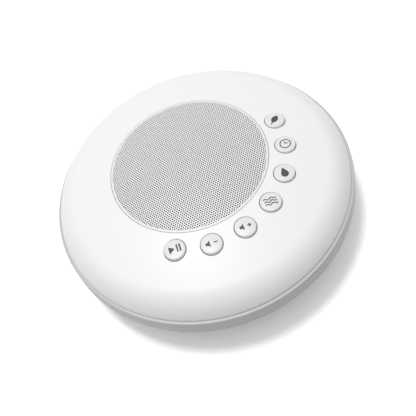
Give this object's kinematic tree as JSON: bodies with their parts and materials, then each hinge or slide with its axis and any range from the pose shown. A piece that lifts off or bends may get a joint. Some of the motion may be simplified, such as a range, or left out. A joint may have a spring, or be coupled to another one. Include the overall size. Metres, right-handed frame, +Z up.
{
  "type": "white noise sound machine",
  "caption": "Round white noise sound machine with a domed white top, a perforated grille over an upward-facing loudspeaker, and sprung round keys on an arc beside it.",
  "frame": {"origin": "on the table, in the middle of the four rubber feet", "axes": "+Z up, +X to the right of a person who reads the keys from -Y, +Y to the power inlet"},
  "size_m": [0.1446, 0.1446, 0.0359],
  "materials": {
    "white_shell": "fine matte",
    "grey_shell": "fine matte",
    "grille_paint": "matte paint",
    "cloth": "fine weave",
    "key_plastic": "satin",
    "plunger_plastic": "satin",
    "switch_black": "satin",
    "board_green": "lacquered",
    "foam": "foamed",
    "pressed_steel": "satin paint",
    "plated_steel": "zinc plated",
    "ferrite": "fired ferrite",
    "coil_tube": "enamelled winding",
    "cone_paper": "pressed pulp",
    "black_rubber": "matte",
    "can_metal": "satin",
    "socket_white": "satin",
    "battery_wrap": "shrink wrap",
    "lead_jacket": "satin",
    "terminal_board": "pressed card",
    "cable_white": "satin"
  },
  "bodies": {
    "case": {"top_shell": "white_shell", "bottom_shell": "grey_shell", "speaker_grille": "grille_paint", "grille_cloth": "cloth", "key_switches": "switch_black", "key_board": "board_green", "speaker_gasket": "foam", "speaker_frame": "pressed_steel", "speaker_top_plate": "plated_steel", "speaker_magnet": "ferrite", "speaker_yoke": "plated_steel", "voice_coil": "coil_tube", "speaker_spider": "cloth", "speaker_cone": "cone_paper", "speaker_surround": "black_rubber", "speaker_dust_cap": "cone_paper", "main_board": "board_green", "main_chips": "switch_black", "board_capacitors": "can_metal", "power_inlet": "plated_steel", "inlet_tongue": "switch_black", "lead_sockets": "socket_white", "battery_cell": "battery_wrap", "battery_pad": "foam", "speaker_leads": "lead_jacket", "battery_leads": "lead_jacket", "speaker_plug": "socket_white", "battery_plug": "socket_white", "speaker_terminal": "terminal_board", "flat_cable": "cable_white", "speaker_screws": "plated_steel", "key_board_screws": "plated_steel", "main_board_screws": "plated_steel", "case_screws": "plated_steel", "rubber_foot_1": "black_rubber", "rubber_foot_2": "black_rubber", "rubber_foot_3": "black_rubber", "rubber_foot_4": "black_rubber"},
    "pressed_leaf_key": {"leaf_key": "key_plastic", "switch_plunger_1": "plunger_plastic"},
    "pressed_timer_key": {"timer_key": "key_plastic", "switch_plunger_2": "plunger_plastic"},
    "pressed_rain_key": {"rain_key": "key_plastic", "switch_plunger_3": "plunger_plastic"},
    "pressed_wave_key": {"wave_key": "key_plastic", "switch_plunger_4": "plunger_plastic"},
    "pressed_volume_up_key": {"volume_up_key": "key_plastic", "switch_plunger_5": "plunger_plastic"},
    "pressed_volume_down_key": {"volume_down_key": "key_plastic", "switch_plunger_6": "plunger_plastic"},
    "pressed_play_key": {"play_key": "key_plastic", "switch_plunger_7": "plunger_plastic"}
  },
  "joints": [
    {"name": "leaf_key_press", "type": "slide", "parent": "case", "child": "pressed_leaf_key", "axis": [0, 0, -1], "range_m": [0, 0.0006], "stiffness_N_per_m": 300},
    {"name": "timer_key_press", "type": "slide", "parent": "case", "child": "pressed_timer_key", "axis": [0, 0, -1], "range_m": [0, 0.0006], "stiffness_N_per_m": 300},
    {"name": "rain_key_press", "type": "slide", "parent": "case", "child": "pressed_rain_key", "axis": [0, 0, -1], "range_m": [0, 0.0006], "stiffness_N_per_m": 300},
    {"name": "wave_key_press", "type": "slide", "parent": "case", "child": "pressed_wave_key", "axis": [0, 0, -1], "range_m": [0, 0.0006], "stiffness_N_per_m": 300},
    {"name": "volume_up_key_press", "type": "slide", "parent": "case", "child": "pressed_volume_up_key", "axis": [0, 0, -1], "range_m": [0, 0.0006], "stiffness_N_per_m": 300},
    {"name": "volume_down_key_press", "type": "slide", "parent": "case", "child": "pressed_volume_down_key", "axis": [0, 0, -1], "range_m": [0, 0.0006], "stiffness_N_per_m": 300},
    {"name": "play_key_press", "type": "slide", "parent": "case", "child": "pressed_play_key", "axis": [0, 0, -1], "range_m": [0, 0.0006], "stiffness_N_per_m": 300}
  ]
}
